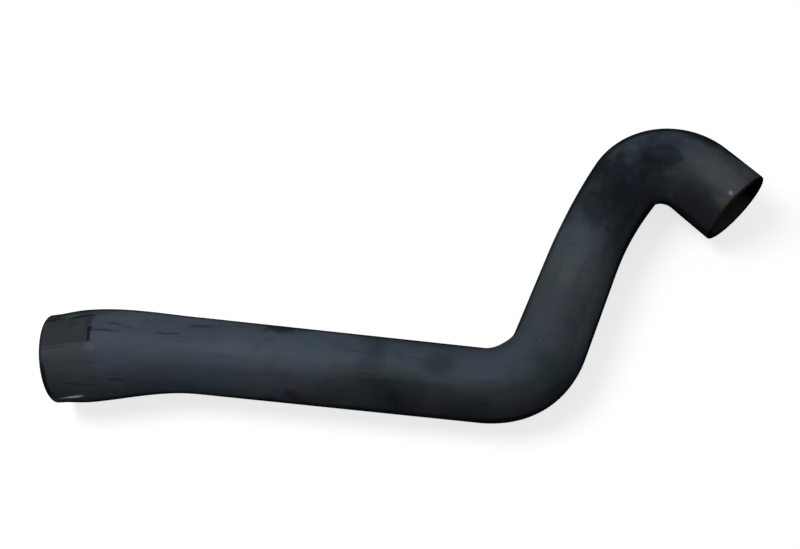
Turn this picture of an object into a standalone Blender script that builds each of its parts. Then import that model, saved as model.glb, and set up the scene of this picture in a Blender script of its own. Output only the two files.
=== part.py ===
"""A formed rubber coolant hose for a car's engine bay, in one moulded piece.

From the left, the hose has a wide cuff, a long run, a tight foot bend, a riser
that leans over at its shoulder, a head bend and a shorter, narrower end cuff.
Its centreline lies in one plane. The hose lies on its side as it comes to rest
on a flat surface, touching it under both cuffs and under the foot bend, with
the long run along +X. Units are metres, and +Z is up.
"""

import math

import bmesh
import bpy
from mathutils import Matrix, Vector
from mathutils.bvhtree import BVHTree

# Wall of the hose, and the rounding of its four rim edges
WALL = 0.0045
RIM_ROUND = 0.0008
RIM_ROUND_STEPS = 2

# Outer diameters, from the left end to the right end
LEFT_MOUTH_DIAMETER = 0.0484
LEFT_CUFF_DIAMETER = 0.0509
RUN_START_DIAMETER = 0.0418
RUN_END_DIAMETER = 0.0397
RISER_START_DIAMETER = 0.0401
NECK_DIAMETER = 0.0390
END_CUFF_DIAMETER = 0.0454

# How much wider the hose is at the middle of the foot bend
FOOT_BULGE = 0.0014

# Even lip at the left mouth, then the lengths along the centreline over
# which the diameter changes
LEFT_LIP_LENGTH = 0.0015
LEFT_SWELL_LENGTH = 0.0175
LEFT_TAPER_LENGTH = 0.063
END_CUFF_LENGTH = 0.018
END_TAPER_LENGTH = 0.104

# Straight lengths of the centreline
LEFT_STRAIGHT = 0.021
RUN_LENGTH = 0.150
RISER_LENGTH = 0.0531
END_STRAIGHT = 0.0274

# Bends of the centreline: its radius, and the angle in degrees, where a
# positive angle turns to the left
CUFF_BEND_RADIUS = 0.318
CUFF_BEND_ANGLE = -11.6
FOOT_BEND_RADIUS = 0.0356
FOOT_BEND_ANGLE = 74.6
SHOULDER_BEND_RADIUS = 0.271
SHOULDER_BEND_ANGLE = -12.9
HEAD_BEND_RADIUS = 0.0267
HEAD_BEND_ANGLE = -103.5

# Fineness of the surface
SIDES = 36
BEND_STEP_ANGLE = 7.0
TAPER_STEP = 0.0075

# Rubber
RUBBER_COLOUR = (0.028, 0.032, 0.037, 1.0)
RUBBER_ROUGHNESS = 0.5
RUBBER_METALLIC = 0.0

# The rest pose is found once the hose would roll by less than this angle
REST_TOLERANCE = math.radians(0.001)
REST_ATTEMPTS = 20


def clear_scene():
    """Remove every object of the scene."""
    for old_object in list(bpy.data.objects):
        bpy.data.objects.remove(old_object, do_unlink=True)


def legs():
    """List the centreline's legs as (length, curvature), from the left end."""

    def bend(radius, degrees):
        angle = math.radians(degrees)
        return radius * abs(angle), math.copysign(1.0 / radius, angle)

    return [
        (LEFT_STRAIGHT, 0.0),
        bend(CUFF_BEND_RADIUS, CUFF_BEND_ANGLE),
        (RUN_LENGTH, 0.0),
        bend(FOOT_BEND_RADIUS, FOOT_BEND_ANGLE),
        (RISER_LENGTH, 0.0),
        bend(SHOULDER_BEND_RADIUS, SHOULDER_BEND_ANGLE),
        bend(HEAD_BEND_RADIUS, HEAD_BEND_ANGLE),
        (END_STRAIGHT, 0.0),
    ]


def leg_ends():
    """List the distances from the left end at which the legs begin and end."""
    ends = [0.0]
    for length, _curvature in legs():
        ends.append(ends[-1] + length)
    return ends


def centre_point(distance):
    """Give the centreline's point at a distance, with its curvature there.

    The run itself lies along +X, so the first leg starts at the angle that
    the cuff bend takes back.
    """
    heading = -math.radians(CUFF_BEND_ANGLE)
    point = Vector((0.0, 0.0, 0.0))
    curvature_here = 0.0
    left_over = distance
    for length, curvature in legs():
        step = min(left_over, length)
        curvature_here = curvature
        if curvature:
            turned = heading + step * curvature
            point.x += (math.sin(turned) - math.sin(heading)) / curvature
            point.y += (math.cos(heading) - math.cos(turned)) / curvature
            heading = turned
        else:
            point.x += step * math.cos(heading)
            point.y += step * math.sin(heading)
        left_over -= step
        if left_over <= 0.0:
            break
    return point, curvature_here


def ease(fraction):
    """Blend from 0 to 1, level at both ends."""
    return fraction * fraction * (3.0 - 2.0 * fraction)


def diameter_knots():
    """List (distance, outer diameter, whether the blend up to it is eased)."""
    ends = leg_ends()
    foot_start, foot_end = ends[3], ends[4]
    total = ends[-1]
    cuff_full = LEFT_LIP_LENGTH + LEFT_SWELL_LENGTH
    return [
        (0.0, LEFT_MOUTH_DIAMETER, False),
        (LEFT_LIP_LENGTH, LEFT_MOUTH_DIAMETER, False),
        (cuff_full, LEFT_CUFF_DIAMETER, True),
        (cuff_full + LEFT_TAPER_LENGTH, RUN_START_DIAMETER, True),
        (foot_start, RUN_END_DIAMETER, False),
        (foot_end, RISER_START_DIAMETER, False),
        (total - END_CUFF_LENGTH - END_TAPER_LENGTH, NECK_DIAMETER, False),
        (total - END_CUFF_LENGTH, END_CUFF_DIAMETER, True),
        (total, END_CUFF_DIAMETER, False),
    ]


def outer_diameter(distance):
    """Give the hose's outer diameter at a distance from its left end."""
    knots = diameter_knots()
    diameter = knots[-1][1]
    for (start, before, _eased), (end, after, eased) in zip(knots, knots[1:]):
        if start <= distance <= end:
            fraction = (distance - start) / (end - start)
            if eased:
                fraction = ease(fraction)
            diameter = before + (after - before) * fraction
            break
    ends = leg_ends()
    foot_start, foot_end = ends[3], ends[4]
    if foot_start < distance < foot_end:
        fraction = (distance - foot_start) / (foot_end - foot_start)
        diameter += FOOT_BULGE * math.sin(math.pi * fraction) ** 2
    return diameter


def stations():
    """List the distances at which the hose has a ring of vertices.

    A bend has a ring every few degrees, a taper one every few millimetres,
    and a straight stretch of even taper has none between its ends.
    """
    marks = sorted(set(leg_ends() + [knot[0] for knot in diameter_knots()]))
    tapers = [
        (start[0], end[0])
        for start, end in zip(diameter_knots(), diameter_knots()[1:])
        if end[2]
    ]
    rings = [0.0]
    for start, end in zip(marks, marks[1:]):
        middle = 0.5 * (start + end)
        turn = math.degrees((end - start) * abs(centre_point(middle)[1]))
        steps = max(1, math.ceil(turn / BEND_STEP_ANGLE))
        if any(first < middle < last for first, last in tapers):
            steps = max(steps, math.ceil((end - start) / TAPER_STEP))
        rings += [start + (end - start) * (step + 1) / steps for step in range(steps)]
    return rings


def swept_skin(name):
    """Sweep a circle of varying diameter along the centreline.

    Returns the hose's outer skin as an open mesh.
    """
    curve = bpy.data.curves.new(name, "CURVE")
    curve.dimensions = "3D"
    curve.twist_mode = "Z_UP"
    curve.bevel_depth = 0.5 * RUN_START_DIAMETER
    curve.bevel_resolution = SIDES // 2 - 2
    curve.use_fill_caps = False
    distances = stations()
    spline = curve.splines.new("POLY")
    spline.points.add(len(distances) - 1)
    for spline_point, distance in zip(spline.points, distances):
        spline_point.co = (*centre_point(distance)[0], 1.0)
        spline_point.radius = outer_diameter(distance) / RUN_START_DIAMETER
    carrier = bpy.data.objects.new(name + "_path", curve)
    bpy.context.scene.collection.objects.link(carrier)
    depsgraph = bpy.context.evaluated_depsgraph_get()
    skin = bpy.data.meshes.new_from_object(carrier.evaluated_get(depsgraph))
    bpy.data.objects.remove(carrier, do_unlink=True)
    skin.name = name
    skin.shade_smooth()
    return skin


def add_wall(hose):
    """Give the skin its wall, inwards, and round the four rim edges."""
    wall = hose.modifiers.new("wall", "SOLIDIFY")
    wall.thickness = WALL
    wall.offset = -1.0
    wall.use_rim = True
    rim = hose.modifiers.new("rim", "BEVEL")
    rim.width = RIM_ROUND
    rim.segments = RIM_ROUND_STEPS
    rim.limit_method = "ANGLE"
    rim.angle_limit = math.radians(60.0)


def rubber():
    """Make the hose's material, a satin black rubber."""
    material = bpy.data.materials.new("rubber")
    material.use_nodes = True
    shader = material.node_tree.nodes["Principled BSDF"]
    shader.inputs["Base Color"].default_value = RUBBER_COLOUR
    shader.inputs["Roughness"].default_value = RUBBER_ROUGHNESS
    shader.inputs["Metallic"].default_value = RUBBER_METALLIC
    material.diffuse_color = RUBBER_COLOUR
    return material


def solid_mesh(hose):
    """Give the hose with its modifiers applied, as a triangulated bmesh."""
    depsgraph = bpy.context.evaluated_depsgraph_get()
    evaluated = hose.evaluated_get(depsgraph)
    solid = bmesh.new()
    solid.from_mesh(evaluated.to_mesh())
    evaluated.to_mesh_clear()
    bmesh.ops.triangulate(solid, faces=solid.faces[:])
    return solid


def centre_of_mass(solid):
    """Give the centroid of a closed triangulated bmesh's volume."""
    total = 0.0
    moment = Vector((0.0, 0.0, 0.0))
    for face in solid.faces:
        a, b, c = (vertex.co for vertex in face.verts)
        volume = a.dot(b.cross(c)) / 6.0
        total += volume
        moment += volume * (a + b + c) / 4.0
    return moment / total


def rest_direction(solid):
    """Find the direction that points down once the hose lies still.

    The hose starts flat on its centreline's plane, and rolls on to the face
    of its convex hull under its centre of mass until it rolls no further.
    """
    centre = centre_of_mass(solid)
    hull = bmesh.new()
    for vertex in solid.verts:
        hull.verts.new(vertex.co)
    made = bmesh.ops.convex_hull(hull, input=hull.verts[:])
    inside = [item for item in made["geom_interior"] if item.is_valid]
    bmesh.ops.delete(hull, geom=inside, context="VERTS")
    bmesh.ops.recalc_face_normals(hull, faces=hull.faces[:])
    tree = BVHTree.FromBMesh(hull)
    down = Vector((0.0, 0.0, -1.0))
    for _attempt in range(REST_ATTEMPTS):
        normal = tree.ray_cast(centre, down)[1]
        rolled = down.angle(normal)
        down = normal
        if rolled < REST_TOLERANCE:
            break
    hull.free()
    return down


def lay_down(hose):
    """Lay the hose at rest, its run along +X and its origin under its middle."""
    solid = solid_mesh(hose)
    down = rest_direction(solid)
    tip = down.rotation_difference(Vector((0.0, 0.0, -1.0))).to_matrix().to_4x4()
    run = tip @ Vector((1.0, 0.0, 0.0))
    turn = Matrix.Rotation(-math.atan2(run.y, run.x), 4, "Z")
    laid = turn @ tip
    places = [laid @ vertex.co for vertex in solid.verts]
    solid.free()
    lows = [min(place[axis] for place in places) for axis in range(3)]
    highs = [max(place[axis] for place in places) for axis in range(3)]
    middle_x = 0.5 * (lows[0] + highs[0])
    middle_y = 0.5 * (lows[1] + highs[1])
    shift = Matrix.Translation((-middle_x, -middle_y, -lows[2]))
    hose.matrix_world = shift @ laid


def main():
    """Build the hose, in a collection of its own."""
    clear_scene()
    collection = bpy.data.collections.new("cooler_pipe")
    bpy.context.scene.collection.children.link(collection)
    hose = bpy.data.objects.new("hose", swept_skin("hose"))
    collection.objects.link(hose)
    hose.data.materials.append(rubber())
    add_wall(hose)
    lay_down(hose)


main()
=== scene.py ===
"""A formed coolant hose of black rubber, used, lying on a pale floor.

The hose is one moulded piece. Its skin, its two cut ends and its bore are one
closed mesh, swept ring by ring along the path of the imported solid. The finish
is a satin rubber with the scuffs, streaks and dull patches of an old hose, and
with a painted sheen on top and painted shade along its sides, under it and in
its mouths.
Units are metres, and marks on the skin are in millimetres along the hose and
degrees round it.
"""

import logging
import math
import operator
from dataclasses import dataclass, field
from enum import Enum
from functools import reduce

import bmesh
import bpy
from mathutils import Matrix, Vector


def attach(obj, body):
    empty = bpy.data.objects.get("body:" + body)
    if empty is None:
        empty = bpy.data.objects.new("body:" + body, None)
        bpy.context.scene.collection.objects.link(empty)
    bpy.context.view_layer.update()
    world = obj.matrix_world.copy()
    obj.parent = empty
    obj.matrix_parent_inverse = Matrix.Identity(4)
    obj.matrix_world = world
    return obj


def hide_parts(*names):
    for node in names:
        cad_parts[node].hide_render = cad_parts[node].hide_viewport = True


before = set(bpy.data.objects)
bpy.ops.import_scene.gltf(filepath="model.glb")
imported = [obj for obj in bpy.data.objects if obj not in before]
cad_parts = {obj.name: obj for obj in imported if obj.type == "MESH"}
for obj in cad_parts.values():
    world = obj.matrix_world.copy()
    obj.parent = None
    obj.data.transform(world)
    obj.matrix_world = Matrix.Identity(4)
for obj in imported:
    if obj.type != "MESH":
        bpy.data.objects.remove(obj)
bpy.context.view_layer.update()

LOG = logging.getLogger("cooler_pipe")

NODE = "hose"
BODY = "root"
SKIN_MAP = "skin_map"
INSIDE_LAYER = "inside"

MILLIMETRES = 1000.0
FULL_TURN = 360.0
HALF_TURN = 180.0

# The skin's map is cut open along the underside
SEAM_ANGLE = -89.99

# The inside values at which marks have gone and at which they are full
MARKED_SIDE = (0.3, 0.05)

Pair = tuple[float, float]
Triple = tuple[float, float, float]


def ease(share: float) -> float:
    """Blend from 0 to 1, level at both ends."""
    return share * share * (3.0 - 2.0 * share)


@dataclass(frozen=True)
class RestPose:
    """How the plane of the path lies once the hose has come to rest.

    The angles are in degrees: the tip about x comes first, then the dip
    about y. The start is the middle of the wide cuff's cut end.
    """

    tip: float = 2.25638
    dip: float = 1.29864
    start: Triple = (-0.1887293, -0.0785236, 0.0257103)

    def matrix(self) -> Matrix:
        """Give the place of that plane in the floor's frame."""
        tipped = Matrix.Rotation(math.radians(self.tip), 4, "X")
        dipped = Matrix.Rotation(math.radians(self.dip), 4, "Y")
        return Matrix.Translation(self.start) @ dipped @ tipped


@dataclass(frozen=True)
class Leg:
    """One stretch of the path, straight or bent.

    A bend's angle is in degrees, and a positive one turns to the left.
    """

    length: float = 0.0
    radius: float = 0.0
    angle: float = 0.0

    def reach(self) -> float:
        """Give the leg's length along the path."""
        if self.radius:
            return self.radius * math.radians(abs(self.angle))
        return self.length

    def curvature(self) -> float:
        """Give the turn per metre, positive to the left."""
        if self.radius:
            return math.copysign(1.0 / self.radius, self.angle)
        return 0.0


@dataclass(frozen=True)
class HosePath:
    """The centreline of the hose, from the wide cuff to the narrow one."""

    left_straight: Leg = Leg(length=0.021)
    cuff_bend: Leg = Leg(radius=0.318, angle=-11.6)
    run: Leg = Leg(length=0.150)
    foot_bend: Leg = Leg(radius=0.0356, angle=74.6)
    riser: Leg = Leg(length=0.0531)
    shoulder_bend: Leg = Leg(radius=0.271, angle=-12.9)
    head_bend: Leg = Leg(radius=0.0267, angle=-103.5)
    end_straight: Leg = Leg(length=0.0274)
    rest: RestPose = RestPose()

    def legs(self) -> list[Leg]:
        """List the legs in order."""
        return [
            self.left_straight,
            self.cuff_bend,
            self.run,
            self.foot_bend,
            self.riser,
            self.shoulder_bend,
            self.head_bend,
            self.end_straight,
        ]

    def leg_ends(self) -> list[float]:
        """List the distances at which the legs begin and end."""
        ends = [0.0]
        for leg in self.legs():
            ends.append(ends[-1] + leg.reach())
        return ends

    def total(self) -> float:
        """Give the length of the whole path."""
        return self.leg_ends()[-1]

    def place(self, distance: float) -> Matrix:
        """Give the cross-section's frame at a distance, on the floor.

        Args:
            distance: Metres along the path from the wide cuff's cut end.

        Returns:
            A matrix with x to the left of the path in its plane, y out of
            that plane, upwards, and z along the path.
        """
        heading = -math.radians(self.cuff_bend.angle)
        x, y = 0.0, 0.0
        left_over = distance
        for leg in self.legs():
            step = min(left_over, leg.reach())
            bend = leg.curvature()
            if bend:
                turned = heading + step * bend
                x += (math.sin(turned) - math.sin(heading)) / bend
                y += (math.cos(heading) - math.cos(turned)) / bend
                heading = turned
            else:
                x += step * math.cos(heading)
                y += step * math.sin(heading)
            left_over -= step
            if left_over <= 0.0:
                break
        cosine, sine = math.cos(heading), math.sin(heading)
        section = Matrix(
            (
                (-sine, 0.0, cosine, x),
                (cosine, 0.0, sine, y),
                (0.0, 1.0, 0.0, 0.0),
                (0.0, 0.0, 0.0, 1.0),
            )
        )
        return self.rest.matrix() @ section


@dataclass(frozen=True)
class HoseWidths:
    """The outer diameters of the hose, and where along it they change."""

    mouth: float = 0.0484
    wide_cuff: float = 0.0509
    run_start: float = 0.0418
    run_end: float = 0.0397
    riser_start: float = 0.0401
    neck: float = 0.0390
    narrow_cuff: float = 0.0454
    foot_bulge: float = 0.0014
    lip_length: float = 0.0015
    swell_length: float = 0.0175
    wide_taper_length: float = 0.063
    narrow_cuff_length: float = 0.018
    narrow_taper_length: float = 0.104

    def radius(self, path: HosePath, distance: float) -> float:
        """Give the outer radius at a distance along the path.

        Args:
            path: The hose's centreline.
            distance: Metres along it from the wide cuff's cut end.

        Returns:
            The outer radius in metres.
        """
        ends = path.leg_ends()
        foot = path.legs().index(path.foot_bend)
        foot_start, foot_end, total = ends[foot], ends[foot + 1], ends[-1]
        cuff_full = self.lip_length + self.swell_length
        taper_end = cuff_full + self.wide_taper_length
        neck_end = total - self.narrow_cuff_length
        knots = [
            (0.0, self.mouth, False),
            (self.lip_length, self.mouth, False),
            (cuff_full, self.wide_cuff, True),
            (taper_end, self.run_start, True),
            (foot_start, self.run_end, False),
            (foot_end, self.riser_start, False),
            (neck_end - self.narrow_taper_length, self.neck, False),
            (neck_end, self.narrow_cuff, True),
            (total, self.narrow_cuff, False),
        ]
        diameter = self.narrow_cuff
        for (start, before, _), (end, after, eased) in zip(knots, knots[1:]):
            if start <= distance <= end:
                share = (distance - start) / (end - start)
                if eased:
                    share = ease(share)
                diameter = before + (after - before) * share
                break
        if foot_start < distance < foot_end:
            share = (distance - foot_start) / (foot_end - foot_start)
            diameter += self.foot_bulge * math.sin(math.pi * share) ** 2
        return 0.5 * diameter


@dataclass(frozen=True)
class Ring:
    """One ring of the closed shell.

    A ring on the skin has inside 0, one on a cut face 0.5 and one in the
    bore 1.
    """

    distance: float
    radius: float
    inside: float


@dataclass
class RubberHose:
    """The hose itself: skin, cut ends and bore in one closed mesh."""

    path: HosePath = field(default_factory=HosePath)
    widths: HoseWidths = field(default_factory=HoseWidths)
    wall: float = 0.0045
    rim_round: float = 0.0008
    rim_steps: int = 5
    face_steps: int = 3
    sides: int = 144
    ring_gap: float = 0.004
    bend_step: float = 2.6

    def ring_distances(self) -> list[float]:
        """List the distances of the skin's rings, between the two rims."""
        first = self.rim_round
        last = self.path.total() - self.rim_round
        marks = {first, last}
        marks |= {end for end in self.path.leg_ends() if first < end < last}
        marks.add(self.widths.lip_length)
        marks = sorted(marks)
        distances = [first]
        for start, end in zip(marks, marks[1:]):
            bend = self.curvature_between(start, end)
            turn = math.degrees((end - start) * bend)
            steps = math.ceil((end - start) / self.ring_gap)
            steps = max(1, steps, math.ceil(turn / self.bend_step))
            for step in range(1, steps + 1):
                distances.append(start + (end - start) * step / steps)
        return distances

    def curvature_between(self, start: float, end: float) -> float:
        """Give the unsigned curvature of the leg that holds a stretch."""
        middle = 0.5 * (start + end)
        ends = self.path.leg_ends()
        for leg, low, high in zip(self.path.legs(), ends, ends[1:]):
            if low <= middle <= high:
                return abs(leg.curvature())
        return 0.0

    def rim_rings(self, at_start: bool) -> list[Ring]:
        """List the rings of one cut end, from the skin to the bore.

        Args:
            at_start: Whether this is the wide cuff's end.

        Returns:
            The rings of the outer rounding, the cut face and the inner
            rounding.
        """
        total = self.path.total()
        end = 0.0 if at_start else total
        inwards = 1.0 if at_start else -1.0
        outer = self.widths.radius(self.path, end)
        inner = outer - self.wall
        rounding = self.rim_round
        rings = []
        for step in range(1, self.rim_steps + 1):
            angle = 0.5 * math.pi * step / self.rim_steps
            rings.append(
                Ring(
                    end + inwards * rounding * (1.0 - math.sin(angle)),
                    outer - rounding * (1.0 - math.cos(angle)),
                    0.5 * step / self.rim_steps,
                )
            )
        for step in range(1, self.face_steps):
            share = step / self.face_steps
            start_radius = outer - rounding
            end_radius = inner + rounding
            radius = start_radius + (end_radius - start_radius) * share
            rings.append(Ring(end, radius, 0.5))
        for step in range(self.rim_steps):
            angle = 0.5 * math.pi * step / self.rim_steps
            rings.append(
                Ring(
                    end + inwards * rounding * (1.0 - math.cos(angle)),
                    inner + rounding * (1.0 - math.sin(angle)),
                    0.5 + 0.5 * step / self.rim_steps,
                )
            )
        return rings

    def shell_rings(self) -> list[Ring]:
        """List all rings: along the skin, over the end, back by the bore."""
        distances = self.ring_distances()
        radii = [self.widths.radius(self.path, here) for here in distances]
        skin = [Ring(here, wide, 0.0) for here, wide in zip(distances, radii)]
        bore = [
            Ring(here, wide - self.wall, 1.0)
            for here, wide in zip(reversed(distances), reversed(radii))
        ]
        far_end = self.rim_rings(at_start=False)
        near_end = list(reversed(self.rim_rings(at_start=True)))
        return skin + far_end + bore + near_end

    def sweep(self) -> bmesh.types.BMesh:
        """Sweep a circle through all rings and close the shell.

        Returns:
            The closed shell, with each vertex's distance, angle and side
            in layers of its own.
        """
        shell = bmesh.new()
        distance_layer = shell.verts.layers.float.new("distance")
        angle_layer = shell.verts.layers.float.new("angle")
        inside_layer = shell.verts.layers.float.new(INSIDE_LAYER)
        rings = self.shell_rings()
        made = bmesh.ops.create_circle(shell, segments=self.sides, radius=1.0)
        verts = made["verts"]
        first_edges = shell.edges[:]
        edges = first_edges
        for vert in verts:
            turn = math.degrees(math.atan2(vert.co.y, vert.co.x))
            vert[angle_layer] = turn if turn > SEAM_ANGLE else turn + FULL_TURN
        held = Matrix.Identity(4)
        for number, ring in enumerate(rings):
            if number:
                grown = bmesh.ops.extrude_edge_only(shell, edges=edges)["geom"]
                verts = [item for item in grown if isinstance(item, bmesh.types.BMVert)]
                edges = [item for item in grown if isinstance(item, bmesh.types.BMEdge)]
            place = self.path.place(ring.distance) @ Matrix.Diagonal(
                (ring.radius, ring.radius, 1.0, 1.0)
            )
            move = place @ held.inverted()
            held = place
            for vert in verts:
                vert.co = move @ vert.co
                vert[distance_layer] = ring.distance
                vert[inside_layer] = ring.inside
        bmesh.ops.bridge_loops(shell, edges=first_edges + edges)
        bmesh.ops.recalc_face_normals(shell, faces=shell.faces[:])
        return shell

    def lay_map(self, shell: bmesh.types.BMesh) -> None:
        """Map the skin by metres along the hose and turns round it.

        The seam of the map is on the underside.

        Args:
            shell: The swept shell with its vertex layers.
        """
        skin_map = shell.loops.layers.uv.new(SKIN_MAP)
        distance_layer = shell.verts.layers.float["distance"]
        angle_layer = shell.verts.layers.float["angle"]
        for face in shell.faces:
            face.smooth = True
            angles = [loop.vert[angle_layer] for loop in face.loops]
            crosses = max(angles) - min(angles) > HALF_TURN
            for loop, angle in zip(face.loops, angles):
                if crosses and angle > HALF_TURN:
                    angle -= FULL_TURN
                loop[skin_map].uv = (loop.vert[distance_layer], angle / FULL_TURN)

    def build(self) -> bpy.types.Object:
        """Build the hose's object.

        Returns:
            The object, at the origin, with its place in its mesh.
        """
        shell = self.sweep()
        self.lay_map(shell)
        mesh = bpy.data.meshes.new("rubber_hose")
        shell.to_mesh(mesh)
        shell.free()
        hose = bpy.data.objects.new("rubber_hose", mesh)
        bpy.context.scene.collection.objects.link(hose)
        return hose


class ShaderTree:
    """A material's or world's nodes, written as calls and expressions."""

    def __init__(self, owner: bpy.types.Material | bpy.types.World) -> None:
        """Clear the owner's nodes and keep its tree."""
        owner.use_nodes = True
        self.tree = owner.node_tree
        self.tree.nodes.clear()

    def node(
        self,
        kind: str,
        settings: dict[str, object] | None = None,
        sockets: dict[str, object] | None = None,
    ) -> bpy.types.Node:
        """Add a node.

        Args:
            kind: The node's type name.
            settings: The node's own settings, which are set first.
            sockets: Values or links of its inputs, by name or identifier.

        Returns:
            The new node.
        """
        added = self.tree.nodes.new(kind)
        for name, setting in (settings or {}).items():
            setattr(added, name, setting)
        for name, value in (sockets or {}).items():
            found = [
                socket
                for socket in added.inputs
                if name in (socket.identifier, socket.name) and socket.enabled
            ]
            if isinstance(value, Signal):
                self.tree.links.new(value.socket, found[0])
            elif isinstance(value, bpy.types.NodeSocket):
                self.tree.links.new(value, found[0])
            else:
                found[0].default_value = value
        return added

    def signal(self, node: bpy.types.Node, output: str = "") -> "Signal":
        """Wrap one output of a node, by name or identifier, or its first."""
        for socket in node.outputs:
            if socket.enabled and output in ("", socket.identifier, socket.name):
                return Signal(self, socket)
        raise KeyError(output)

    def mix(
        self, share: "Signal", before: object, after: object, how: str = "MIX"
    ) -> "Signal":
        """Blend two colours, or multiply them, by a share from 0 to 1."""
        blend = self.node(
            "ShaderNodeMix",
            {"data_type": "RGBA", "blend_type": how},
            {"Factor_Float": share, "A_Color": before, "B_Color": after},
        )
        return self.signal(blend)

    def noise(self, vector: "Signal", scale: float, detail: float = 2.0) -> "Signal":
        """Give a noise from 0 to 1 over a vector."""
        grain = self.node(
            "ShaderNodeTexNoise",
            {"noise_dimensions": "3D"},
            {"Vector": vector, "Scale": scale, "Detail": detail},
        )
        return self.signal(grain)

    def seen(self) -> "Signal":
        """Tell rays that look at a thing from rays that light it."""
        rays = self.node("ShaderNodeLightPath")
        looking = self.signal(rays, "Is Camera Ray")
        looking = looking.most(self.signal(rays, "Is Glossy Ray"))
        return looking.most(self.signal(rays, "Is Transmission Ray"))

    def vector_maths(self, operation: str, *values: object) -> "Signal":
        """Add one Vector Math node on up to three vectors."""
        sockets = dict(zip(("Vector", "Vector_001", "Vector_002"), values))
        summed = self.node("ShaderNodeVectorMath", {"operation": operation}, sockets)
        return self.signal(summed)

    def vector(self, x: object, y: object, z: object = 0.0) -> "Signal":
        """Join three numbers to a vector."""
        joined = self.node("ShaderNodeCombineXYZ", None, {"X": x, "Y": y, "Z": z})
        return self.signal(joined)


class Signal:
    """A shader socket that takes part in Python's own sums."""

    def __init__(self, shader: ShaderTree, socket: bpy.types.NodeSocket) -> None:
        """Keep the socket and the tree that new nodes go to."""
        self.shader = shader
        self.socket = socket

    def maths(self, operation: str, *values: object) -> "Signal":
        """Add one Math node on up to three values."""
        sockets = dict(zip(("Value", "Value_001", "Value_002"), values))
        summed = self.shader.node("ShaderNodeMath", {"operation": operation}, sockets)
        return self.shader.signal(summed)

    def __add__(self, other: object) -> "Signal":
        """Add."""
        return self.maths("ADD", self, other)

    def __radd__(self, other: object) -> "Signal":
        """Add, with this value on the right."""
        return self.maths("ADD", other, self)

    def __sub__(self, other: object) -> "Signal":
        """Take away."""
        return self.maths("SUBTRACT", self, other)

    def __rsub__(self, other: object) -> "Signal":
        """Take this value away."""
        return self.maths("SUBTRACT", other, self)

    def __mul__(self, other: object) -> "Signal":
        """Multiply."""
        return self.maths("MULTIPLY", self, other)

    def __rmul__(self, other: object) -> "Signal":
        """Multiply, with this value on the right."""
        return self.maths("MULTIPLY", other, self)

    def __abs__(self) -> "Signal":
        """Give the value without its sign."""
        return self.maths("ABSOLUTE", self)

    def most(self, other: object) -> "Signal":
        """Give the larger of two values."""
        return self.maths("MAXIMUM", self, other)

    def scaled(self, factor: float, offset: object) -> "Signal":
        """Multiply by a factor and add an offset."""
        return self.maths("MULTIPLY_ADD", self, factor, offset)

    def rise(
        self, low: float, high: float, bottom: float = 0.0, top: float = 1.0
    ) -> "Signal":
        """Rise smoothly from the bottom at low to the top at high.

        If high is less than low, it falls from the top to the bottom.
        """
        start, end, before, after = low, high, bottom, top
        if low > high:
            start, end, before, after = high, low, top, bottom
        ramp = self.shader.node(
            "ShaderNodeMapRange",
            {"interpolation_type": "SMOOTHSTEP"},
            {
                "Value": self,
                "From Min": start,
                "From Max": end,
                "To Min": before,
                "To Max": after,
            },
        )
        return self.shader.signal(ramp)


@dataclass(frozen=True)
class SkinPlace:
    """Where a point of the skin is, as a material reads it.

    Attributes:
        along: Millimetres along the hose.
        around: Degrees round it.
        spot: Both as one vector.
    """

    along: Signal
    around: Signal
    spot: Signal


@dataclass(frozen=True)
class Grain:
    """How fine the skin's noises are, and how far they push a mark.

    Each pair is a noise's cells per metre and its detail. The streaks are
    drawn out along the hose: they have a pace per millimetre along it and
    cells of their own round it. The pushes are in millimetres along the
    hose and degrees round it.
    """

    turn: Pair = (38.0, 2.0)
    sway: Pair = (66.0, 2.0)
    fray: Pair = (190.0, 3.0)
    cloud: Pair = (34.0, 4.0)
    mottle: Pair = (120.0, 4.0)
    hue: Pair = (21.0, 2.0)
    tint: Pair = (54.0, 2.0)
    fine: Pair = (1900.0, 2.0)
    streak: Pair = (1.0, 3.0)
    streak_pace: float = 0.02
    streak_cells: float = 9.0
    push_along: float = 7.0
    push_around: float = 12.0


class Skin:
    """What the finish reads of the hose: places, and which side they are on."""

    def __init__(self, shader: ShaderTree, grain: Grain) -> None:
        """Add the nodes that read the map and the sides."""
        self.shader = shader
        skin_map = shader.node("ShaderNodeUVMap", {"uv_map": SKIN_MAP})
        parts = shader.node("ShaderNodeSeparateXYZ", None, {"Vector": skin_map.outputs[0]})
        along = shader.signal(parts, "X") * MILLIMETRES
        self.turns = shader.signal(parts, "Y")
        around = self.turns * FULL_TURN
        self.place = shader.signal(shader.node("ShaderNodeTexCoord"), "Object")
        side = shader.node(
            "ShaderNodeAttribute",
            {"attribute_type": "GEOMETRY", "attribute_name": INSIDE_LAYER},
        )
        self.inside = shader.signal(side, "Fac")

        turn = shader.noise(self.place, *grain.turn) - 0.5
        sway = shader.noise(self.place, *grain.sway) - 0.5
        self.fray = shader.noise(self.place, *grain.fray) - 0.5
        self.still = SkinPlace(along, around, shader.vector(along, around))
        far = along + sway * grain.push_along
        turned = around + turn * grain.push_around
        self.pushed = SkinPlace(far, turned, shader.vector(far, turned))
        self.outside = self.inside.rise(*MARKED_SIDE)


class Blotches:
    """The noises that make the finish uneven."""

    def __init__(self, skin: Skin, grain: Grain) -> None:
        """Add the nodes of the noises."""
        shader = skin.shader
        self.cloud = shader.noise(skin.place, *grain.cloud)
        self.mottle = shader.noise(skin.place, *grain.mottle)
        self.hue = shader.noise(skin.place, *grain.hue)
        self.tint = shader.noise(skin.place, *grain.tint)
        self.fine = shader.noise(skin.place, *grain.fine)
        angle = skin.turns * math.tau
        cosine = angle.maths("COSINE", angle) * grain.streak_cells
        sine = angle.maths("SINE", angle) * grain.streak_cells
        strung = shader.vector(skin.still.along * grain.streak_pace, cosine, sine)
        self.streak = shader.noise(strung, *grain.streak)


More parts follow.
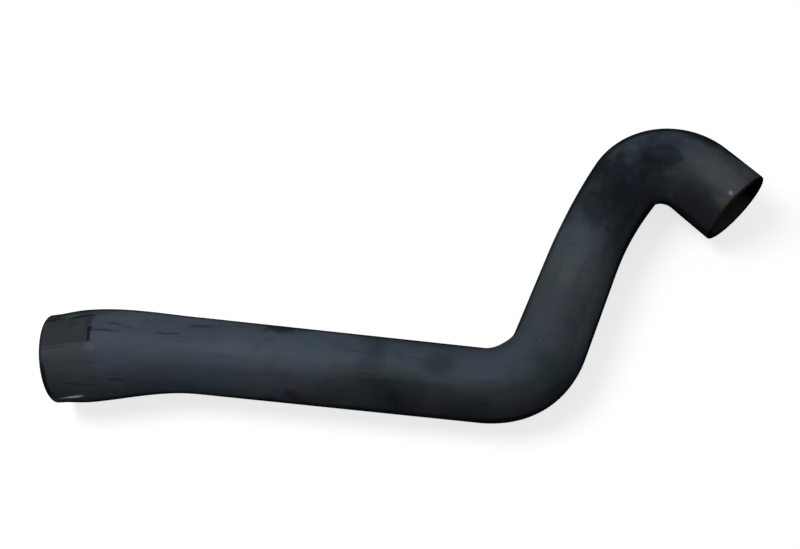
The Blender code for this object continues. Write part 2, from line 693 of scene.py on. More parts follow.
class MarkKind(Enum):
    """What a mark does to the rubber under it."""

    GREY = "grey"
    DARK = "dark"
    PALE = "pale"
    HAZE = "haze"
    CHALK = "chalk"
    RUST = "rust"
    MOSS = "moss"
    MAUVE = "mauve"


# These kinds aren't held to the outside, as the rim and the bore cover them
TINTS = (MarkKind.MOSS, MarkKind.MAUVE)


@dataclass(frozen=True)
class Mark:
    """A mark on the skin, in millimetres along it and degrees round it.

    Attributes:
        start: Where it begins along the hose.
        end: Where it ends along the hose.
        angle: Where its middle lies round the hose.
        half_width: How far it reaches to either side of that angle.
        strength: How much of its colour it lays on, from 0 to 1.
    """

    start: float
    end: float
    angle: float
    half_width: float
    strength: float

    def middle(self) -> float:
        """Give the distance of its middle along the hose."""
        return 0.5 * (self.start + self.end)

    def half_length(self) -> float:
        """Give half of its length."""
        return 0.5 * (self.end - self.start)


@dataclass(frozen=True)
class Oval(Mark):
    """A rounded mark, which noise pushes about unless its edge is even.

    Attributes:
        edge: The share of the mark over which it fades out.
        drift: Degrees by which its middle line climbs over its length.
        ragged: How much that edge frays.
    """

    edge: float = 0.9
    drift: float = 0.0
    ragged: float = 0.5

    def clear(self, skin: Skin) -> Signal:
        """Give 1 off the mark, and 1 less its strength on it."""
        place = skin.pushed if self.ragged else skin.still
        shader = skin.shader
        long_scale = 1.0 / self.half_length()
        wide_scale = 1.0 / self.half_width
        if self.drift:
            slope = self.drift / (self.end - self.start)
            line = place.along.scaled(-slope, slope * self.middle() - self.angle)
            offset = shader.vector(-self.middle() * long_scale, line * wide_scale)
        else:
            offset = (-self.middle() * long_scale, -self.angle * wide_scale, 0.0)
        scale = (long_scale, wide_scale, 0.0)
        reach = shader.vector_maths("MULTIPLY_ADD", place.spot, scale, offset)
        reach = shader.vector_maths("LENGTH", reach)
        if self.ragged:
            reach = skin.fray.scaled(self.ragged, reach)
        return reach.rise(1.0 - self.edge, 1.0, 1.0 - self.strength, 1.0)


@dataclass(frozen=True)
class Box(Mark):
    """A mark with straight sides, which fade over widths of their own.

    Attributes:
        end_edge: Millimetres over which each end fades.
        side_edge: Degrees over which each side fades.
    """

    end_edge: float
    side_edge: float

    def clear(self, skin: Skin) -> Signal:
        """Give 1 off the mark, and 1 less its strength on it."""
        end_fade = 0.5 * self.end_edge
        side_fade = 0.5 * self.side_edge
        lengthwise = abs(skin.still.along - self.middle()).rise(
            self.half_length() + end_fade, self.half_length() - end_fade
        )
        crosswise = abs(skin.still.around - self.angle).rise(
            self.half_width + side_fade, self.half_width - side_fade
        )
        return (lengthwise * crosswise).scaled(-self.strength, 1.0)


# The marks of each kind, roughly in their order along the hose
GREY_WEAR = (
    Box(-9.0, 27.6, 66.0, 33.0, 0.85, 4.0, 4.0),
    Box(-9.0, 30.0, 120.0, 25.0, 0.85, 9.0, 12.0),
    Oval(130.0, 246.0, 106.0, 12.0, 0.75, 0.8, -2.0),
    Oval(176.0, 244.0, 88.0, 24.0, 0.3),
    Oval(240.0, 360.0, 80.0, 60.0, 0.65),
    Oval(234.0, 284.0, 92.0, 28.0, 0.36),
    Oval(258.0, 364.0, 40.0, 24.0, 0.5, 0.8),
    Oval(344.0, 404.0, 66.0, 50.0, 0.7, 0.8),
    Oval(424.0, 500.0, 90.0, 64.0, 0.95, 0.6),
)

# Dark dirt, and painted shade: the long boxes along both edges of the hose, at about 0 to
# 30 and 185 to 210 degrees round it, the boxes at the wide cuff's cut end and the two under
# it darken its flanks, that rim and its underside where shade falls
DARK_DIRT_AND_SHADE = (
    # The wide cuff and its taper
    Box(-9.0, 25.8, 77.0, 20.0, 0.42, 3.6, 3.0),
    Box(25.9, 27.8, 86.0, 10.0, 0.88, 0.8, 3.0),
    Box(25.6, 28.4, 79.0, 3.0, 0.66, 1.0, 3.0),
    Box(27.0, 36.0, 81.6, 1.5, 0.34, 4.0, 2.4),
    Box(25.0, 27.6, 66.0, 10.0, 0.4, 1.6, 6.0),
    Oval(-3.0, 16.0, 55.5, 4.0, 0.85, 0.9, 3.0, 0.2),
    Oval(12.0, 31.0, 57.4, 4.4, 0.92, 0.8, -8.0, 0.3),
    Oval(-8.0, 15.0, 52.0, 9.0, 0.56, 0.8),
    Oval(14.0, 23.0, 71.0, 9.0, 0.26, 0.8),
    # Painted shade along the wide cuff's back edge and round its cut end
    Box(-9.0, 25.0, 29.0, 18.0, 0.84, 8.0, 12.0),
    Box(-30.0, 1.3, 150.0, 78.0, 0.85, 1.4, 10.0),
    Box(-30.0, 1.0, 20.0, 57.0, 0.5, 1.4, 10.0),
    Box(-30.0, 2.7, 144.0, 25.0, 0.96, 1.4, 14.0),
    # Painted shade along the back and front edges of the taper and the run
    Box(20.0, 130.0, 22.0, 17.0, 0.6, 8.0, 9.0),
    Box(8.0, 116.0, 197.0, 14.0, 0.8, 12.0, 9.0),
    Oval(-9.0, 12.0, 118.0, 14.0, 0.26),
    Oval(-3.0, 30.0, 122.0, 7.0, 0.2),
    Oval(-6.0, 24.0, 100.4, 3.2, 0.36),
    Oval(0.0, 32.0, 150.0, 13.0, 0.15, 0.8),
    Oval(-9.0, 24.0, 134.0, 14.0, 0.24, 0.8),
    Oval(31.0, 47.0, 71.5, 2.8, 0.66, 0.9, 2.0, 0.1),
    Oval(41.0, 53.0, 76.0, 2.2, 0.36, 0.9, 6.0, 0.1),
    Oval(24.0, 48.0, 83.5, 2.8, 0.58, 0.9, 2.0, 0.1),
    Oval(59.0, 71.0, 83.0, 2.8, 0.52, 0.9, 3.0, 0.1),
    Oval(66.0, 77.0, 82.0, 3.0, 0.6, 0.9, -6.0, 0.1),
    Oval(71.0, 99.0, 62.0, 6.4, 0.56, 0.9, -12.0, 0.2),
    Oval(88.0, 122.0, 54.0, 3.4, 0.34, 0.9, -8.0, 0.2),
    Oval(33.0, 47.0, 147.0, 3.4, 0.6, 0.9, 3.0, 0.2),
    Oval(2.0, 38.0, 149.0, 2.6, 0.55, 0.9, 10.0, 0.2),
    # The long run and the foot bend
    Oval(116.6, 136.0, 43.0, 22.0, 0.6, 0.5, 10.0),
    Oval(121.0, 137.0, 34.0, 15.0, 0.75, 0.7),
    Oval(116.4, 121.8, 46.0, 26.0, 0.48, 0.9, 0.0, 0.2),
    Oval(131.0, 146.0, 162.0, 18.0, 0.5, 0.7),
    Oval(169.0, 189.0, 70.0, 52.0, 0.4, 0.9, 8.0, 0.8),
    Oval(199.0, 225.0, 87.0, 22.0, 0.36, 0.7),
    Oval(196.0, 234.0, 68.0, 11.0, 0.24),
    Oval(199.0, 212.0, 142.0, 34.0, 0.3),
    Oval(182.0, 200.0, 141.0, 18.0, 0.6, 0.8),
    Oval(165.0, 186.0, 98.0, 14.0, 0.26),
    Oval(158.0, 168.0, 138.0, 9.0, 0.26),
    Oval(202.0, 210.0, 158.0, 12.0, 0.28),
    Oval(175.0, 199.0, 145.0, 11.0, 0.18),
    Oval(171.0, 183.0, 111.0, 4.5, 0.34, 0.8),
    Oval(172.0, 192.0, 122.0, 20.0, 0.26),
    Oval(174.0, 202.0, 164.0, 16.0, 0.34),
    # These three darken the lower front side of the run, where the light from above falls
    # off: painted shade
    Oval(160.0, 216.0, 136.0, 36.0, 0.44, 0.8),
    Oval(184.0, 210.0, 162.0, 28.0, 0.45, 0.8),
    Oval(206.0, 250.0, 152.0, 44.0, 0.44, 0.8),
    # Painted shade along the front edge of the run
    Box(102.0, 176.0, 197.0, 19.5, 0.9, 36.0, 12.0),
    Oval(118.0, 132.0, 174.0, 12.0, 0.36, 0.8),
    # Painted shade along both edges of the run and the foot bend
    Box(164.0, 252.0, 192.0, 19.0, 0.9, 20.0, 14.0),
    Box(120.0, 236.0, 21.0, 18.0, 0.8, 40.0, 10.0),
    Oval(226.0, 248.0, 106.0, 7.0, 0.26),
    # The riser and the head bend
    Oval(259.0, 276.0, 104.0, 34.0, 0.28, 0.8, 10.0),
    Oval(258.0, 269.0, 39.0, 7.0, 0.34),
    Oval(231.0, 241.0, 138.0, 9.0, 0.28),
    Oval(256.0, 276.0, 158.0, 24.0, 0.45, 0.8),
    # Painted shade along the front edge of the foot bend
    Box(232.0, 284.0, 196.0, 26.0, 0.94, 16.0, 12.0),
    Oval(258.0, 312.0, 26.0, 12.0, 0.4, 0.8),
    # Painted shade along both edges of the riser, the shoulder and the head bend
    Box(266.0, 372.0, 5.0, 18.0, 0.8, 20.0, 10.0),
    Box(356.0, 402.0, 15.0, 18.0, 0.9, 20.0, 9.0),
    Box(276.0, 391.0, 192.0, 30.5, 0.97, 10.0, 7.0),
    Box(340.0, 388.0, 184.0, 27.0, 0.8, 16.0, 14.0),
    Oval(336.0, 400.0, 122.0, 30.0, 0.52, 0.7, -16.0),
    Oval(343.0, 378.0, 80.0, 36.0, 0.7, 0.7, -20.0),
    Oval(352.0, 410.0, 82.0, 38.0, 0.84, 0.6, -46.0),
    Oval(370.0, 400.0, 42.0, 26.0, 0.8, 0.7),
    Oval(354.0, 382.0, 52.0, 22.0, 0.5, 0.8),
    Oval(372.0, 401.0, 124.0, 38.0, 0.64, 0.8),
    Oval(354.0, 402.0, 34.0, 12.0, 0.5, 0.8),
    Oval(369.0, 379.0, 73.0, 7.0, 0.3),
    Oval(381.0, 393.0, 91.0, 15.0, 0.44),
    Oval(334.0, 344.0, 121.0, 6.0, 0.22),
    Oval(343.0, 364.0, 130.0, 28.0, 0.18),
    Oval(380.0, 424.0, 112.0, 26.0, 0.74, 0.7, 10.0),
    Oval(362.0, 385.0, 112.0, 30.0, 0.5, 0.3, -34.0, 0.3),
    # The head bend and the narrow cuff
    Oval(383.0, 405.0, 94.0, 11.0, 0.5),
    Oval(388.0, 406.0, 37.0, 13.0, 0.6, 0.8),
    Oval(398.0, 415.0, 82.0, 24.0, 0.4),
    Oval(391.0, 414.0, 92.0, 20.0, 0.46, 0.7),
    Oval(403.0, 432.0, 63.0, 10.0, 0.44, 0.8),
    Oval(407.0, 418.0, 74.0, 14.0, 0.36),
    Oval(400.0, 408.0, 60.0, 6.0, 0.46),
    Oval(426.0, 435.0, 69.0, 7.0, 0.5),
    Oval(394.0, 418.0, 136.0, 9.0, 0.34),
    Oval(404.0, 446.0, 127.0, 9.0, 0.26),
    Oval(398.0, 436.0, 104.0, 20.0, 0.56, 0.3, 12.0, 0.4),
    Oval(402.0, 438.0, 84.0, 26.0, 0.54, 0.7, 8.0),
    Oval(409.0, 432.0, 116.0, 18.0, 0.34, 0.8),
    Oval(390.0, 458.0, 42.0, 21.0, 0.88, 0.5, 4.0),
    Oval(424.0, 450.0, 58.0, 20.0, 0.74, 0.7),
    Oval(428.0, 494.0, 152.0, 50.0, 0.68, 0.8),
    Oval(440.0, 456.0, 61.0, 8.0, 0.3),
    # Painted shade along the front edge of the head bend and the narrow cuff
    Box(396.0, 452.0, 209.0, 21.0, 0.92, 12.0, 10.0),
    Box(446.0, 482.0, 200.0, 24.0, 0.9, 10.0, 12.0),
    Oval(436.0, 460.0, 46.0, 14.0, 0.86, 0.7),
    Oval(450.0, 484.0, 36.0, 14.0, 0.7, 0.7),
    Oval(468.6, 472.0, 128.0, 3.0, 0.9, 0.8),
    # The underside, darkened along its whole length as painted shade
    Box(-30.0, 500.0, -48.0, 64.0, 0.86, 2.0, 26.0),
    Box(-30.0, 500.0, 246.0, 50.0, 0.86, 2.0, 22.0),
)

PALE_SCUFFS = (
    # The wide cuff and its taper
    Oval(16.0, 25.0, 72.0, 22.0, 0.24, 0.8),
    Oval(50.0, 86.0, 66.0, 13.0, 0.2),
    Oval(22.2, 28.0, 105.0, 6.5, 0.66, 0.8, 0.0, 0.3),
    Oval(24.4, 30.6, 103.5, 8.0, 0.8, 0.7, 0.0, 0.3),
    Oval(26.0, 64.0, 56.0, 24.0, 0.5, 0.7),
    Oval(34.0, 48.0, 157.0, 12.0, 0.32),
    Oval(28.0, 58.0, 56.0, 15.0, 0.18),
    Oval(44.0, 74.0, 114.0, 11.0, 0.38),
    Oval(-6.0, 14.0, 181.0, 8.0, 0.5, 0.8),
    # The long run and the foot bend
    Oval(132.0, 176.0, 64.0, 22.0, 0.18, 0.8),
    Oval(92.0, 120.0, 54.0, 16.0, 0.36),
    Oval(134.0, 154.0, 144.0, 18.0, 0.22),
    Oval(158.0, 172.0, 167.0, 10.0, 0.32),
    Oval(181.0, 194.0, 166.0, 9.0, 0.28),
    Oval(136.0, 146.0, 160.0, 10.0, 0.3),
    Oval(130.0, 172.0, 50.0, 14.0, 0.2),
    Oval(148.0, 202.0, 108.0, 6.0, 0.14, 0.9, 4.0),
    Oval(62.0, 76.0, 170.0, 12.0, 0.3, 0.8),
    Oval(146.0, 162.0, 104.0, 7.0, 0.34),
    Oval(183.0, 188.0, 83.0, 2.2, 0.5, 0.8),
    Oval(204.0, 221.0, 109.0, 5.0, 0.3),
    Oval(214.0, 240.0, 114.0, 14.0, 0.18),
    # The riser and the head bend
    Oval(254.0, 264.0, 130.0, 13.0, 0.2),
    Oval(276.0, 286.0, 125.0, 11.0, 0.26),
    Oval(263.0, 271.0, 158.0, 8.0, 0.34),
    Oval(306.0, 328.0, 78.0, 18.0, 0.3, 0.8),
    Oval(272.0, 354.0, 142.0, 26.0, 0.62, 0.7),
    Oval(298.0, 354.0, 80.0, 34.0, 0.5, 0.9, 6.0),
    Oval(300.0, 356.0, 48.0, 20.0, 0.36),
    Oval(294.0, 346.0, 114.0, 18.0, 0.42),
    Oval(308.0, 348.0, 92.0, 15.0, 0.24),
    Oval(326.0, 358.0, 37.0, 11.0, 0.32),
    Oval(272.0, 304.0, 142.0, 22.0, 0.46),
    Oval(365.0, 374.0, 62.0, 6.0, 0.22),
    Oval(329.0, 346.0, 103.0, 12.0, 0.24),
    Oval(383.0, 396.0, 128.0, 15.0, 0.42, 0.9, 8.0),
    Oval(364.0, 380.0, 126.0, 10.0, 0.22),
    Oval(358.0, 374.0, 138.0, 10.0, 0.22),
    Oval(374.0, 390.0, 41.0, 11.0, 0.6, 0.8, -14.0),
    # The head bend and the narrow cuff
    Oval(388.0, 397.0, 90.0, 11.0, 0.26, 0.6, -14.0),
    Oval(391.0, 399.0, 90.0, 7.0, 0.36, 0.6, 0.0, 0.3),
    Oval(390.0, 411.0, 62.0, 13.0, 0.26, 0.8, -22.0),
    Oval(403.0, 415.0, 114.0, 10.0, 0.34, 0.8),
    Oval(386.0, 420.0, 164.0, 24.0, 0.34, 0.8),
    Oval(406.0, 448.0, 174.0, 12.0, 0.26, 0.8),
    Oval(428.0, 488.0, 98.0, 28.0, 0.72, 0.7, 8.0),
    Oval(438.0, 468.0, 112.0, 12.0, 0.38),
    Oval(412.0, 438.0, 130.0, 10.0, 0.22, 0.5, -8.0),
    Oval(426.0, 450.0, 103.0, 14.0, 0.3),
    Oval(461.0, 471.0, 69.0, 14.0, 0.36),
    Oval(464.0, 468.0, 127.0, 5.0, 0.5),
    Oval(466.0, 470.5, 121.0, 4.5, 0.6),
)

BLUE_HAZE = (
    Oval(24.0, 122.0, 42.0, 24.0, 0.82, 0.6),
    Box(8.0, 134.0, 154.0, 26.0, 0.44, 26.0, 22.0),
    Oval(84.0, 166.0, 90.0, 44.0, 0.6, 0.6, -4.0),
    Oval(96.0, 140.0, 108.0, 40.0, 0.3, 0.8, -6.0),
    Oval(130.0, 168.0, 118.0, 12.0, 0.4),
    Oval(134.0, 176.0, 46.0, 18.0, 0.6, 0.7),
    Oval(128.0, 162.0, 129.0, 8.0, 0.34),
    Oval(222.0, 250.0, 48.0, 12.0, 0.36),
    Oval(222.0, 362.0, 42.0, 24.0, 0.5, 0.7),
    Oval(262.0, 304.0, 140.0, 26.0, 0.34, 0.8, -10.0),
    Oval(326.0, 352.0, 48.0, 18.0, 0.4, 0.8),
    Oval(406.0, 436.0, 84.0, 24.0, 0.3, 0.8, 8.0),
)

CHALK_LINES = (
    Oval(3.0, 19.8, 173.2, 2.0, 0.6, 0.6, -7.0, 0.0),
    Oval(7.0, 20.4, 172.3, 2.9, 1.0, 0.5, -5.6, 0.0),
    Oval(466.2, 470.6, 109.6, 5.0, 0.33, 1.0, 0.0, 0.0),
)

RUST_STAINS = (
    Oval(17.0, 24.5, 72.0, 20.0, 0.1),
    Oval(459.0, 481.0, 126.0, 13.0, 0.5, 1.0, 4.0),
)

MOSS_TINTS = (
    Oval(52.0, 100.0, 132.0, 26.0, 0.45),
    Oval(40.0, 70.0, 94.0, 14.0, 0.4),
    Oval(146.0, 236.0, 108.0, 15.0, 0.9, 0.7),
    Oval(176.0, 204.0, 140.0, 24.0, 0.9, 0.7),
    Oval(254.0, 280.0, 132.0, 50.0, 1.0, 0.7),
    Oval(292.0, 348.0, 56.0, 26.0, 0.7, 0.8),
    Oval(352.0, 392.0, 58.0, 22.0, 0.9, 0.7, -20.0),
    Oval(382.0, 412.0, 138.0, 26.0, 0.9, 0.8),
    Oval(390.0, 416.0, 60.0, 20.0, 0.9, 0.8),
    Oval(432.0, 462.0, 112.0, 24.0, 0.4, 0.8),
)

MAUVE_TINTS = (
    Oval(-9.0, 18.0, 78.0, 26.0, 0.8, 0.6),
    Oval(124.0, 150.0, 156.0, 28.0, 0.9, 0.8),
    Oval(170.0, 190.0, 40.0, 22.0, 0.9, 0.8),
    Oval(276.0, 296.0, 92.0, 20.0, 0.8, 0.8),
    Oval(344.0, 372.0, 84.0, 24.0, 0.8, 0.8, -20.0),
    Oval(374.0, 402.0, 102.0, 24.0, 0.8, 0.8),
    Oval(408.0, 444.0, 76.0, 22.0, 0.5, 0.7),
    Oval(444.0, 468.0, 158.0, 26.0, 0.8, 0.8),
)

MARKS: dict[MarkKind, tuple[Mark, ...]] = {
    MarkKind.GREY: GREY_WEAR,
    MarkKind.DARK: DARK_DIRT_AND_SHADE,
    MarkKind.PALE: PALE_SCUFFS,
    MarkKind.HAZE: BLUE_HAZE,
    MarkKind.CHALK: CHALK_LINES,
    MarkKind.RUST: RUST_STAINS,
    MarkKind.MOSS: MOSS_TINTS,
    MarkKind.MAUVE: MAUVE_TINTS,
}


@dataclass(frozen=True)
class PaintedSheenZone:
    """Where a painted sheen lies on top of the hose: the top is made lighter
    and bluish where the light from above falls on it.

    It ends at an angle on either side, and its front edge, where the painted
    reflection of that light ends, creeps up from the wide cuff to the foot
    bend, where it also gets softer.
    """

    back_low: float = 38.0
    back_high: float = 64.0
    front_at_cuff: float = 130.0
    front_at_foot: float = 111.0
    creep_start: float = 70.0
    creep_end: float = 190.0
    front_edge: float = 19.0
    soft_edge: float = 84.0
    soften_start: float = 236.0
    soften_end: float = 275.0

    def mask(self, skin: SkinPlace) -> Signal:
        """Give the share of the painted sheen, from 0 to 1, at a place."""
        creep = skin.along.rise(self.creep_start, self.creep_end)
        front = creep * (self.front_at_foot - self.front_at_cuff) + self.front_at_cuff
        past = skin.around - front
        half = 0.5 * self.front_edge
        wide = 0.5 * self.soft_edge
        crisp = past.rise(half, -half)
        soft = past.rise(wide, -wide)
        blend = skin.along.rise(self.soften_start, self.soften_end)
        fall = crisp + (soft - crisp) * blend
        return skin.around.rise(self.back_low, self.back_high) * fall


@dataclass(frozen=True)
class MouthShade:
    """Where the cut ends and the bore lie in the dark.

    Each pair says where a shade begins and where it is full, in degrees
    round the hose, and the last one in millimetres along it.
    """

    rim_top: Pair = (84.0, 60.0)
    rim_bottom: Pair = (168.0, 188.0)
    bore_side: Pair = (-44.0, -16.0)
    bore_top: Pair = (40.0, 12.0)
    wide_end: Pair = (20.0, 10.0)

    def on_rim(self, skin: SkinPlace) -> Signal:
        """Give the shade on the cut faces."""
        top = skin.around.rise(*self.rim_top)
        bottom = skin.around.rise(*self.rim_bottom)
        return top.most(bottom).most(skin.along.rise(*self.wide_end))

    def in_bore(self, skin: SkinPlace) -> Signal:
        """Give the shade inside the bore."""
        return skin.around.rise(*self.bore_side) * skin.around.rise(*self.bore_top)


@dataclass(frozen=True)
class Patches:
    """How a noise adds to the marks of one kind.

    It begins to add at the start value, and where it is full it adds its
    whole share.
    """

    start: float
    full: float
    share: float

    def of(self, noise: Signal) -> Signal:
        """Give what the noise adds."""
        return noise.rise(self.start, self.full) * self.share


@dataclass(frozen=True)
class UsedRubber:
    """The hose's finish: satin black rubber, with the marks of its use, a painted
    sheen on its top and painted shade along its flanks, under it and in its
    mouths.

    The colours come first, then what the noises add to the marks, the
    gloss and the relief.
    """

    rubber: Triple = (0.0290, 0.0332, 0.0376)
    # Painted sheen: the lighter, bluish colour of the top where the light from above falls
    painted_sheen: Triple = (0.0425, 0.0555, 0.0735)
    grey: Triple = (0.0400, 0.0440, 0.0475)
    # The colour of dark dirt, and of the painted shade along the flanks and under the hose
    dark: Triple = (0.0075, 0.0100, 0.0130)
    pale: Triple = (0.0640, 0.0740, 0.0800)
    haze: Triple = (0.0530, 0.0695, 0.0915)
    moss: Triple = (0.92, 1.03, 0.93)
    mauve: Triple = (1.04, 0.96, 1.05)
    chalk: Triple = (0.50, 0.50, 0.51)
    rust: Triple = (0.080, 0.069, 0.053)
    rim: Triple = (0.0245, 0.0265, 0.0258)
    bore: Triple = (0.0340, 0.0340, 0.0310)
    # Painted shade on the cut faces and in the bore where they lie in the dark
    painted_mouth_shade: Triple = (0.0032, 0.0036, 0.0052)

    grey_patches: Patches = Patches(0.5, 0.75, 0.3)
    pale_patches: Patches = Patches(0.5, 0.8, 0.12)
    dark_patches: Patches = Patches(0.5, 0.2, 0.22)
    dark_streaks: Patches = Patches(0.44, 0.2, 0.3)
    moss_patches: Patches = Patches(0.5, 0.75, 0.6)
    mauve_patches: Patches = Patches(0.5, 0.25, 0.5)
    # How much of the painted sheen lies on top, and how much the noises vary it
    sheen_share: float = 0.72
    sheen_cloud: float = 0.4
    sheen_streak: float = 0.2
    skin_to_rim: Pair = (0.08, 0.35)
    rim_to_bore: Pair = (0.65, 0.95)

    satin: float = 0.60
    matt: float = 0.85
    rough_cloud: float = 0.12
    rough_streak: float = 0.14
    specular_level: float = 0.0
    film_weight: float = 0.26
    film_loss: float = 0.7
    film_range: Pair = (52.0, 84.0)
    film_roughness: float = 0.48
    film_ior: float = 1.33
    film_tint: Triple = (0.90, 0.96, 1.0)

    bump_fine: float = 0.35
    bump_streak: float = 0.4
    bump_cloud: float = 1.4
    bump_strength: float = 0.25
    bump_depth: float = 0.0006

    @staticmethod
    def paint(colour: Triple) -> tuple[float, ...]:
        """Give a colour with its alpha."""
        return (*colour, 1.0)

    def marks_of(self, kind: MarkKind, skin: Skin) -> Signal:
        """Join all marks of one kind to one strength, from 0 to 1.

        Each mark's nodes are followed at once by the product with the marks
        before it, as the renderer can hold only some values at a time.
        """
        joint = 1.0 - reduce(operator.mul, (mark.clear(skin) for mark in MARKS[kind]))
        return joint if kind in TINTS else joint * skin.outside

    def skin_colour(
        self,
        skin: Skin,
        blotches: Blotches,
        shares: dict[MarkKind, Signal],
        painted_sheen: Signal,
    ) -> tuple[Signal, Signal, Signal]:
        """Lay the colours of the skin over each other.

        Args:
            skin: The skin that is coloured.
            blotches: The noises that add to the marks.
            shares: The joint strength of each kind of mark.
            painted_sheen: The share of the painted sheen on top.

        Returns:
            The skin's colour, and the full shares of the grey wear and of
            the dark dirt and painted shade.
        """
        mix = skin.shader.mix
        # The painted sheen lightens the top of the hose first
        colour = mix(painted_sheen, self.paint(self.rubber), self.paint(self.painted_sheen))
        colour = mix(shares[MarkKind.HAZE], colour, self.paint(self.haze))
        more_grey = self.grey_patches.of(blotches.hue) * skin.outside
        grey = shares[MarkKind.GREY].most(more_grey)
        colour = mix(grey, colour, self.paint(self.grey))
        pale = shares[MarkKind.PALE].most(self.pale_patches.of(blotches.mottle))
        colour = mix(pale, colour, self.paint(self.pale))
        dark = shares[MarkKind.DARK].most(self.dark_patches.of(blotches.mottle))
        dark = dark.most(self.dark_streaks.of(blotches.streak))
        colour = mix(dark, colour, self.paint(self.dark))
        moss = shares[MarkKind.MOSS].most(self.moss_patches.of(blotches.tint))
        mauve = shares[MarkKind.MAUVE].most(self.mauve_patches.of(blotches.tint))
        colour = mix(moss, colour, self.paint(self.moss), "MULTIPLY")
        colour = mix(mauve, colour, self.paint(self.mauve), "MULTIPLY")
        colour = mix(shares[MarkKind.RUST], colour, self.paint(self.rust))
        colour = mix(shares[MarkKind.CHALK], colour, self.paint(self.chalk))
        return colour, grey, dark

    def with_mouths(self, skin: Skin, colour: Signal) -> Signal:
        """Add the colours of the cut faces and the bore to the skin's, with painted shade
        where they lie in the dark.
        """
        shader = skin.shader
        shade = MouthShade()
        painted_mouth_shade = self.paint(self.painted_mouth_shade)
        rim = shader.mix(shade.on_rim(skin.still), self.paint(self.rim), painted_mouth_shade)
        bore = shader.mix(shade.in_bore(skin.still), self.paint(self.bore), painted_mouth_shade)
        colour = shader.mix(skin.inside.rise(*self.skin_to_rim), colour, rim)
        return shader.mix(skin.inside.rise(*self.rim_to_bore), colour, bore)

    def relief(self, shader: ShaderTree, blotches: Blotches) -> bpy.types.Node:
        """Add the fine relief of the rubber."""
        height = blotches.fine * self.bump_fine + blotches.streak * self.bump_streak
        height = height + blotches.cloud * self.bump_cloud
        return shader.node(
            "ShaderNodeBump",
            None,
            {
                "Strength": self.bump_strength,
                "Distance": self.bump_depth,
                "Height": height,
            },
        )

    def material(self) -> bpy.types.Material:
        """Make the material.

        The renderer can hold only some values at a time, so the marks'
        nodes come before the blotches.
        """
        made = bpy.data.materials.new("used_rubber")
        shader = ShaderTree(made)
        grain = Grain()
        skin = Skin(shader, grain)
        shares = {kind: self.marks_of(kind, skin) for kind in MarkKind}
        # Painted sheen on the top of the hose, spread unevenly by the cloud and streak
        # noises
        painted_sheen = PaintedSheenZone().mask(skin.pushed) * skin.outside
        blotches = Blotches(skin, grain)
        cloud, streak = blotches.cloud, blotches.streak
        spread = self.sheen_share + self.sheen_cloud * cloud + self.sheen_streak * streak
        painted_sheen = painted_sheen * spread
        colour, grey, dark = self.skin_colour(skin, blotches, shares, painted_sheen)
        colour = self.with_mouths(skin, colour)

        rough = self.satin + (cloud - 0.5) * self.rough_cloud
        rough = rough + (streak - 0.5) * self.rough_streak
        rough = rough + grey.most(dark) * (self.matt - self.satin)
        film = painted_sheen * (1.0 - grey * self.film_loss) * (1.0 - dark) * self.film_weight
        film = film * skin.still.around.rise(*self.film_range)
        surface = shader.node(
            "ShaderNodeBsdfPrincipled",
            None,
            {
                "Base Color": colour,
                "Roughness": rough,
                "Normal": self.relief(shader, blotches).outputs[0],
                "Specular IOR Level": self.specular_level,
                "Coat Weight": film,
                "Coat Roughness": self.film_roughness,
                "Coat IOR": self.film_ior,
                "Coat Tint": self.paint(self.film_tint),
            },
        )
        shader.node("ShaderNodeOutputMaterial", None, {"Surface": surface.outputs[0]})
        return made


@dataclass(frozen=True)
class FloorPaint:
    """The floor's finish: white to the eye, and it keeps a soft shadow."""

    grey: float = 0.35
    glow: float = 0.75

    def material(self) -> bpy.types.Material:
        """Make the material."""
        made = bpy.data.materials.new("floor_paint")
        shader = ShaderTree(made)
        matt = shader.node(
            "ShaderNodeBsdfDiffuse", None, {"Color": (self.grey, self.grey, self.grey, 1.0)}
        )
        lit = shader.node(
            "ShaderNodeEmission",
            None,
            {"Color": (1.0, 1.0, 1.0, 1.0), "Strength": shader.seen() * self.glow},
        )
        both = shader.node(
            "ShaderNodeAddShader",
            None,
            {"Shader": matt.outputs[0], "Shader_001": lit.outputs[0]},
        )
        shader.node("ShaderNodeOutputMaterial", None, {"Surface": both.outputs[0]})
        return made


@dataclass(frozen=True)
class SoftBox:
    """A large soft lamp that points at the hose."""

    name: str
    direction: Triple
    away: float
    width: float
    height: float
    power: float
    colour: Triple = (1.0, 1.0, 1.0)

    def hang(self, target: Vector) -> None:
        """Hang the lamp so that it faces a point."""
        lamp = bpy.data.lights.new(self.name, "AREA")
        lamp.shape = "ELLIPSE"
        lamp.size = self.width
        lamp.size_y = self.height
        lamp.energy = self.power
        lamp.color = self.colour
        holder = bpy.data.objects.new(self.name, lamp)
        bpy.context.scene.collection.objects.link(holder)
        towards = Vector(self.direction).normalized()
        holder.location = target + towards * self.away
        holder.rotation_euler = towards.to_track_quat("Z", "Y").to_euler()


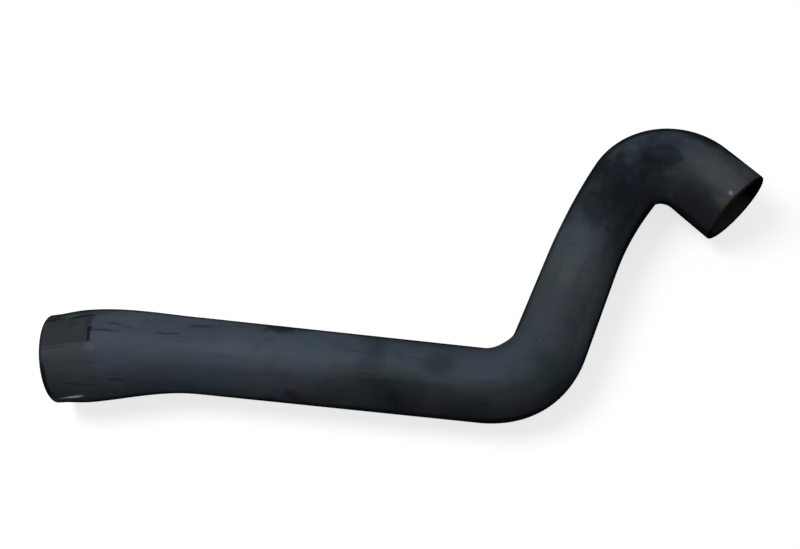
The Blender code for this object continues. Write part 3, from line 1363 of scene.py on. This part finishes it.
@dataclass(frozen=True)
class Studio:
    """The plain floor, the lamps and the fill light round the hose."""

    floor_size: float = 6.0
    fill_strength: float = 0.34
    fill_colour: Triple = (0.95, 0.98, 1.0)
    lamp_target: Triple = (0.0, 0.0, 0.02)
    key: SoftBox = SoftBox(
        name="key_softbox",
        direction=(-0.46, 0.03, 0.88),
        away=1.1,
        width=0.6,
        height=0.6,
        power=8.3,
        colour=(0.98, 0.99, 1.0),
    )

    def lay_floor(self) -> bpy.types.Object:
        """Lay the floor under the hose."""
        sheet = bmesh.new()
        bmesh.ops.create_grid(sheet, x_segments=1, y_segments=1, size=self.floor_size)
        mesh = bpy.data.meshes.new("studio_floor")
        sheet.to_mesh(mesh)
        sheet.free()
        floor = bpy.data.objects.new("studio_floor", mesh)
        bpy.context.scene.collection.objects.link(floor)
        floor.data.materials.append(FloorPaint().material())
        return floor

    def fill(self) -> None:
        """Fill the room with a weak even light, white where it is seen."""
        room = bpy.data.worlds.new("studio_room")
        bpy.context.scene.world = room
        shader = ShaderTree(room)
        seen = shader.seen()
        colour = shader.mix(seen, (*self.fill_colour, 1.0), (1.0, 1.0, 1.0, 1.0))
        strength = seen * (1.0 - self.fill_strength) + self.fill_strength
        glow = shader.node(
            "ShaderNodeBackground", None, {"Color": colour, "Strength": strength}
        )
        shader.node("ShaderNodeOutputWorld", None, {"Surface": glow.outputs[0]})

    def build(self) -> bpy.types.Object:
        """Set up the floor, the fill and the lamps."""
        floor = self.lay_floor()
        self.fill()
        self.key.hang(Vector(self.lamp_target))
        return floor


@dataclass(frozen=True)
class ViewCamera:
    """The camera, by where it stands, where it looks and how it is rolled."""

    eye: Triple = (0.0724313, -0.2810268, 0.5115192)
    target: Triple = (-0.0059264, -0.00704, 0.0249394)
    roll: float = -9.2111
    lens: float = 45.09
    sensor: float = 36.0
    clip_start: float = 0.01
    clip_end: float = 50.0

    def build(self) -> bpy.types.Object:
        """Make the camera and give it to the scene."""
        data = bpy.data.cameras.new("view_camera")
        data.lens = self.lens
        data.sensor_width = self.sensor
        data.sensor_fit = "HORIZONTAL"
        data.clip_start = self.clip_start
        data.clip_end = self.clip_end
        camera = bpy.data.objects.new("view_camera", data)
        bpy.context.scene.collection.objects.link(camera)
        eye = Vector(self.eye)
        back = (eye - Vector(self.target)).normalized()
        level = back.to_track_quat("Z", "Y").to_matrix()
        turn = Matrix.Rotation(math.radians(self.roll), 3, "Z")
        camera.matrix_world = Matrix.Translation(eye) @ (level @ turn).to_4x4()
        bpy.context.scene.camera = camera
        return camera


def main() -> None:
    """Build the camera, the studio and the hose, and report each piece."""
    logging.basicConfig(level=logging.INFO, format="%(name)s: %(message)s")
    scene = bpy.context.scene
    scene.view_settings.view_transform = "Standard"
    camera = ViewCamera().build()
    LOG.info("camera %s at %s", camera.name, tuple(round(c, 3) for c in camera.location))
    floor = Studio().build()
    LOG.info("floor %s", floor.name)
    hose = RubberHose().build()
    hose.data.materials.append(UsedRubber().material())
    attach(hose, BODY)
    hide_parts(NODE)
    LOG.info("piece %s: %d faces", hose.name, len(hose.data.polygons))


if __name__ == "__main__":
    main()
